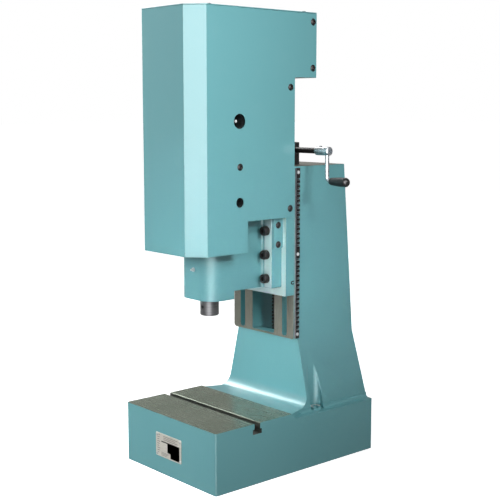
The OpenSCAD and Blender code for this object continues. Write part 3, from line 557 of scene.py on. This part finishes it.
def carriage_zone(face):
    """0 paint, 1 the milled face that slides on the pad, 2 the front, coloured pale teal as a painted
    highlight.
    """
    y, n = face.calc_center_median().y, face.normal
    if n.y > 0.99 and near(y, PAD_Y):
        return 1
    return 2 if n.y < -0.99 and near(y, CARRIAGE_Y) else 0


def head_zone(face):
    """0 paint, 1 the milled face on the carriage, 2 the flange's front, coloured pale teal as a painted
    highlight.
    """
    y, n = face.calc_center_median().y, face.normal
    if n.y > 0.99 and near(y, CARRIAGE_Y):
        return 1
    return 2 if n.y < -0.99 and near(y, FLANGE_Y, 0.6) else 0


OIL_FILM = 0.02 * MM


def eased(skin, face_y, step):
    """Moves a sliding face, which lies at face_y, off its neighbour by step."""
    for v in skin.data.vertices:
        if near(v.co.y, face_y, 0.001):
            v.co.y += step


eased(refined("carriage_plate", [CAST, PAD_IRON, PAINTED_HIGHLIGHT_PAINT], 0.6, carriage_zone, clamp=True),
      PAD_Y, -OIL_FILM)
refined("head_casting", [CAST, PAD_IRON, PAINTED_HIGHLIGHT_PAINT], 0.9, head_zone, segments=3)
# The yoke is near black so the cover's holes look dark inside: painted shade.
refined("cylinder_yoke", [NEAR_BLACK_SHADE_PRIMER], 0.6, segments=2, shortest=6)
refined("nut_bracket", [PAD_IRON], 0.4)
eased(refined("clamp_bars", [PAD_IRON], 0.4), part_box("clamp_bars")[0].y, OIL_FILM)
for sheet in ("cover_brackets", "cover_shell", "cover_top", "cover_back_plate"):
    refined(sheet, [SHEET, SHEET_EDGE], 0.3, edge=1)


# ---------------------------------------------------------------- name plate

refined("name_plate", [PLATE], 0.12, shortest=1)


PRINT_DEPTH = 0.05 * MM


def print_marks():
    """Plain rules and panels on the name plate, as (left, top, right, bottom, ink) shares of the plate."""
    low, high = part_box("name_plate")
    marks = [(0.22, 0.31, 0.93, 0.36, 0), (0.46, 0.36, 0.93, 0.75, 0), (0.58, 0.74, 0.93, 0.95, 0)]
    marks += [(0.06, 0.07 + 0.095 * k, 0.17 - 0.02 * (k % 3), 0.10 + 0.095 * k, 1) for k in range(9)]
    marks += [(0.30, 0.08 + 0.07 * k, 0.86 - 0.09 * (k % 2), 0.105 + 0.07 * k, 1) for k in range(3)]
    marks += [(0.22, 0.80 + 0.055 * k, 0.53 - 0.05 * k, 0.82 + 0.055 * k, 1) for k in range(3)]
    bm = bmesh.new()
    for left, top, right, bottom, ink in marks:
        x = [low.x + (high.x - low.x) * s for s in (left, right)]
        z = [high.z - (high.z - low.z) * s for s in (bottom, top)]
        corners = [(x[i], low.y - PRINT_DEPTH, z[j]) for i, j in ((0, 0), (1, 0), (1, 1), (0, 1))]
        face = bm.faces.new([bm.verts.new(corner) for corner in corners])
        face.material_index = ink
    bmesh.ops.solidify(bm, geom=bm.faces[:], thickness=-PRINT_DEPTH)
    mesh = closed_mesh(bm, "name_plate_print")
    mesh.materials.append(INK)
    mesh.materials.append(FAINT_INK)
    obj = link("name_plate_print", mesh)
    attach(obj, "frame")


print_marks()


# ---------------------------------------------------------------- pin ends behind the upper holes

HOLE_Z = 483.5 * MM               # height of the cover's upper holes
DISC_INSET = 14.2 * MM            # from the yoke's side to the disc
PIN_FORWARD = 4 * MM              # from the disc's centre to the pin
# Profiles as (radius, height) in mm
DISC = [(9, 0), (12.2, 0.3), (12.5, 0.8), (12.5, 2.4), (12, 3)]
PIN = [(1.6, -3), (2.2, -2.4), (2.2, 15.6), (1.7, 16.4), (0.7, 16.6)]


def drive_pins():
    """A disc inside each of the yoke's upper holes, and the end of a pin that shows in the hole, coloured
    near white as a painted glint.
    """
    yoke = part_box("cylinder_yoke")
    for side in (-1, 1):
        spot = Vector((side * (yoke[1].x - DISC_INSET), SLOT_Y, HOLE_Z))
        disc = lathe("drive_disc", DISC, spot, (-side, 0, 0))
        disc.data.materials.append(RUBBER)
        pin = lathe("drive_pin", PIN, spot + Vector((0, -PIN_FORWARD, 0)), (side, 0, 0), 40)
        pin.data.materials.append(GLINT_WHITE_STEEL)
        for piece, slot in ((disc, "black_plastic"), (pin, "bright_steel")):
            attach(piece, "carriage")


drive_pins()


# ---------------------------------------------------------------- steel parts

refined("ram", [RAM_STEEL], 0.35)
refined("crank_hub", [STEEL_X], 0.3)
refined("cross_shaft", [BLACK], 0.3)
refined("gear_housing", [BLACK], 0.5, clamp=True)


def rack_zone(face):
    """0 black outer face, 1 grey front, 2 bright walls of the notches."""
    n = face.normal
    if n.y < -0.9:
        return 1
    return 2 if abs(n.z) > 0.2 and 0.01 < abs(n.x) < 0.99 else 0


refined("height_rack", [BLACK, RACK_SIDE, STEEL_Z], 0.1, rack_zone, clamp=True)

screws("head_screws", BLACK, "cap", forward)
screws("gear_housing_screws", STEEL_Z, "cap", upward)
screws("cylinder_screws", BLACK, "cap", upward)
screws("yoke_screws", BLACK, "cap", upward)
screws("bracket_screws", BLACK, "button", sideways)
screws("cover_screws", BLACK, "button", sideways)
screws("cover_top_screws", BLACK, "button", upward)


def threaded_spindle(pitch=5.0, depth=1.4, count=36, steps=6):
    """The lead screw with its trapezoidal thread between two plain journals, and a neck at its top. Sizes
    are in mm, radii where they are across."""
    low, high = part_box("lead_screw")
    x, y = (low.x + high.x) / 2, (low.y + high.y) / 2
    low_z, high_z = low.z / MM, high.z / MM
    crest, journal, neck, neck_length = 7, 5.0, 2.5, 12
    start, stop = low_z + 10.3, high_z - 28.3
    rings = [circle((journal - 0.5) * MM, low_z * MM, count),
             circle(journal * MM, (low_z + 0.5) * MM, count),
             circle(journal * MM, start * MM, count)]
    for i in range(int((stop - start) / pitch * steps) + 1):
        z = start + i * pitch / steps
        ring = []
        for k in range(count):
            phase = (z / pitch + k / count) % 1
            ridge = min(1.0, max(0.0, 1.5 - abs(phase - 0.5) * 6))
            r = (crest - depth * (1 - ridge)) * MM
            a = 2 * math.pi * k / count
            ring.append((r * math.cos(a), r * math.sin(a), z * MM))
        rings.append(ring)
    rings += [circle(journal * MM, (stop + 0.1) * MM, count),
              circle(journal * MM, (high_z - neck_length - 0.1) * MM, count),
              circle(neck * MM, (high_z - neck_length) * MM, count),
              circle(neck * MM, (high_z - 0.4) * MM, count),
              circle((neck - 0.4) * MM, high_z * MM, count)]
    bm = bmesh.new()
    rings_mesh(bm, rings, Matrix.Translation((x, y, 0)))
    mesh = closed_mesh(bm, "lead_screw_thread", LATHE_CREASE)
    mesh.materials.append(OILED)
    register(link("lead_screw_thread", mesh), "lead_screw")


threaded_spindle()

# CAD nodes that keep their shape and get a material
KEEP = {
    "name_plate_rivets": ALU, "rack_screws": GLINT_WHITE_STEEL, "spindle_top_bush": BRONZE,
    "spindle_foot_bush": BRONZE, "shaft_bushes": BRONZE, "spindle_gear": STEEL_Z,
    "shaft_gear": STEEL_X, "crank_rod": STEEL_Z, "crank_set_screw": BLACK, "crank_handle": PLASTIC,
    "nut_bracket_screws": BLACK, "spindle_nut": BRONZE, "height_pointer": BLACK,
    "ram_bush_lower": BRONZE, "ram_bush_upper": BRONZE, "ram_wiper": RUBBER,
    "grease_nipple": GLINT_WHITE_STEEL, "cover_spacers": STEEL_X, "cylinder_base": ALU,
    "cylinder_barrel": ALU, "cylinder_head": ALU, "tie_rods": STEEL_Z, "tie_rod_nuts": STEEL_Z,
    "rod_bush": BRONZE, "valve_block": ALU, "valve_screws": BLACK, "valve_coil": COIL,
    "air_pipes": PLASTIC, "air_inlet": STEEL_Y, "exhaust_muffler": SINTER, "ram_set_screw": SHADE_DARK_STEEL,
    "rod_coupling": STEEL_Z, "piston_rod": STEEL_Z, "piston": ALU, "piston_seal": RUBBER,
    "piston_nut": STEEL_Z,
}
for node, material in KEEP.items():
    for place in frame["nodes"][node].material_slots:
        place.material = material


# ---------------------------------------------------------------- stage, light and camera

FLOOR_REACH = 30.0                # from the middle to each edge of the floor, in metres


def softbox(name, azimuth, elevation, distance, size, power, around, height=None, aim=None,
            spread=180, diffuse=True, glossy=True):
    """An area light that stands off from the point around and faces it, or faces aim.

    Azimuth 0 is in front of the press and 90 on its crank side. Without diffuse the light only shows in
    reflections, and without glossy it shows in none. Angles are in degrees.
    """
    a, e = math.radians(azimuth), math.radians(elevation)
    back = Vector((math.sin(a) * math.cos(e), -math.cos(a) * math.cos(e), math.sin(e)))
    data = bpy.data.lights.new(name, "AREA")
    data.shape = "RECTANGLE"
    data.size, data.size_y = size, height or size
    data.energy = power
    data.spread = math.radians(spread)
    lamp = bpy.data.objects.new(name, data)
    bpy.context.scene.collection.objects.link(lamp)
    lamp.location = Vector(around) + back * distance
    if aim is not None:
        back = (lamp.location - Vector(aim)).normalized()
    lamp.rotation_euler = back.to_track_quat("Z", "Y").to_euler()
    lamp.visible_diffuse = diffuse
    lamp.visible_glossy = glossy


# The floor glows softly. Diffuse and glossy rays pass through it, so it isn't mirrored and lends no colour,
# but it still shades the press from lights below it.
floor_mesh = bpy.data.meshes.new("floor")
floor_corners = [(x * FLOOR_REACH, y * FLOOR_REACH, 0) for x, y in ((-1, -1), (1, -1), (1, 1), (-1, 1))]
floor_mesh.from_pydata(floor_corners, [], [(0, 1, 2, 3)])
floor = link("floor", floor_mesh)
pale = Paint("pale_floor")
pale.shader.inputs["Emission Color"].default_value = (1, 1, 1, 1)
pale.shader.inputs["Emission Strength"].default_value = 0.72
floor_mesh.materials.append(pale.finish(srgb(250, 250, 250), 0.9))
floor.visible_diffuse = False
floor.visible_glossy = False

# The world fills the shadows, and the camera sees it as a white backdrop.
world = bpy.data.worlds.new("studio")
world.use_nodes = True
bpy.context.scene.world = world
fill = world.node_tree.nodes["Background"]
fill.inputs["Color"].default_value = (1, 1, 1, 1)
fill.inputs["Strength"].default_value = 0.32
backdrop = world.node_tree.nodes.new("ShaderNodeBackground")
backdrop.inputs["Color"].default_value = (1, 1, 1, 1)
seen = world.node_tree.nodes.new("ShaderNodeLightPath")
choose = world.node_tree.nodes.new("ShaderNodeMixShader")
sky = world.node_tree.nodes["World Output"].inputs["Surface"]
for source, socket in ((seen.outputs["Is Camera Ray"], choose.inputs[0]),
                       (fill.outputs[0], choose.inputs[1]),
                       (backdrop.outputs[0], choose.inputs[2]),
                       (choose.outputs[0], sky)):
    world.node_tree.links.new(source, socket)

HEAD = (0.036, -0.08, 0.3)
UPPER = (0.065, -0.3, 0.52)       # just in front of the cover, so its side gets paler forward
softbox("low_key", 100, 23.8, 1.5, 0.10, 1.05, HEAD, aim=UPPER, spread=52)
softbox("high_key", 90, 36.7, 1.5, 0.10, 0.8, HEAD, aim=UPPER, spread=52)
softbox("crank_key", 42, 25, 1.9, 0.14, 3.2, (0.06, 0.05, 0.35))
softbox("front_box", -46, 12, 1.9, 1.0, 29, (0, -0.1, 0.32), glossy=False)
softbox("bright_card", 41, 13, 1.9, 2.0, 90, (0, 0, 0.42), height=1.7, diffuse=False)
softbox("foot_card", -88, 45, 1.9, 1.1, 105, (0, 0, 0.1), height=2.3, diffuse=False)
# This one stands partly below the floor and brightens the head's corner and the pockets.
softbox("edge_card", 44, -18, 1.9, 1.2, 22, (0.05, 0, 0.13), height=0.6, diffuse=False)
softbox("low_front", -38, 18, 1.9, 0.35, 0.18, (0, 0, 0.15), spread=18, glossy=False)
softbox("low_side", 27, 14, 1.9, 0.2, 0.12, (0.075, 0, 0.27), spread=10, glossy=False)

camera_data = bpy.data.cameras.new("camera")
camera_data.lens = 74.39
camera_data.sensor_width = 36
camera = bpy.data.objects.new("camera", camera_data)
bpy.context.scene.collection.objects.link(camera)
camera.location = (1.0969, -0.9653, 0.4986)
camera.rotation_euler = (math.radians(82.27), 0, math.radians(48.75))
bpy.context.scene.camera = camera
bpy.context.scene.view_settings.view_transform = "Standard"
